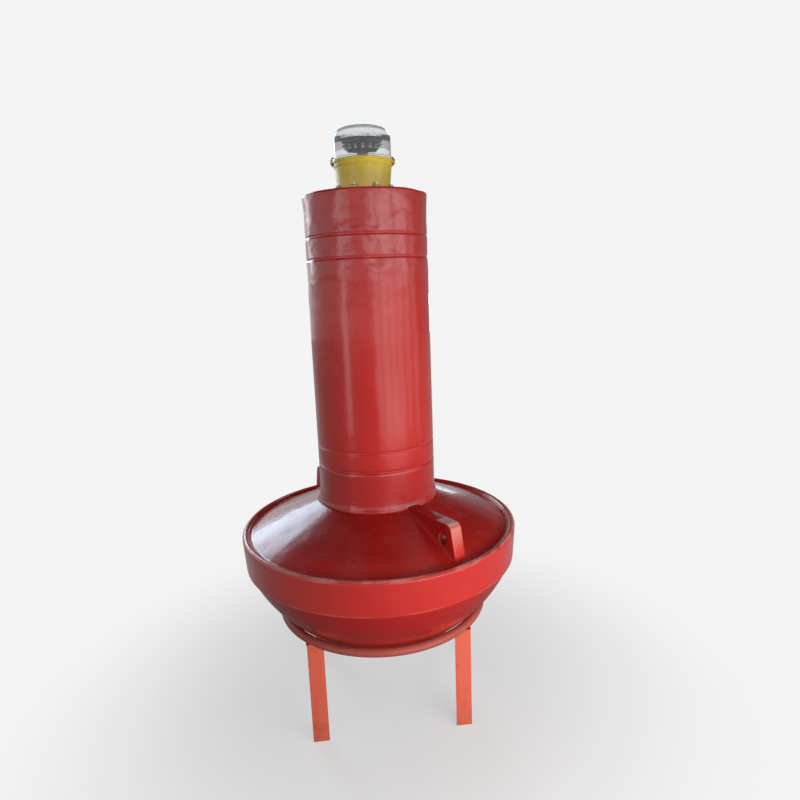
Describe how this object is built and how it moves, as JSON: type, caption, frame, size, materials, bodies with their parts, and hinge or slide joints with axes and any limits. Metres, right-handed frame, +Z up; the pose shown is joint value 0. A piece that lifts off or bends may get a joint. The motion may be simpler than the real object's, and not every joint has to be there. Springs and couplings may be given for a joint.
{
  "type": "navigation buoy on a display stand",
  "caption": "Can-shaped navigation buoy: dished float with a raised lip, round grooved tower, marine lantern, lifting lugs and mooring eye, standing on a ring stand with angle iron legs.",
  "frame": {"origin": "on the floor, on the buoy's axis, midway between the stand's four legs", "axes": "+Z up along the buoy's axis; -Y is the front, with the stand's legs at 45 degrees to X and Y"},
  "size_m": [0.9, 0.9, 1.8513],
  "materials": {
    "stand_paint": "brushed orange-red paint over steel angle and tube",
    "red_shell": "glossy red moulded shell, slightly uneven",
    "galvanised_steel": "galvanised",
    "yellow_lantern": "yellow moulded plastic",
    "clear_lens": "clear moulded lens",
    "lamp_black": "matt dark grey",
    "lamp_metal": "satin aluminium"
  },
  "bodies": {
    "root": {"stand_ring": "stand_paint", "stand_leg_front_right": "stand_paint", "stand_leg_back_right": "stand_paint", "stand_leg_back_left": "stand_paint", "stand_leg_front_left": "stand_paint", "float_body": "red_shell", "tower": "red_shell", "lifting_lug_front": "red_shell", "lifting_lug_back": "red_shell", "mooring_plate": "galvanised_steel", "mooring_eye": "galvanised_steel", "lantern_base": "yellow_lantern", "lantern_lens": "clear_lens", "lamp_stem": "lamp_black", "lamp_head": "lamp_black", "lamp_disc": "lamp_metal"}
  },
  "joints": []
}
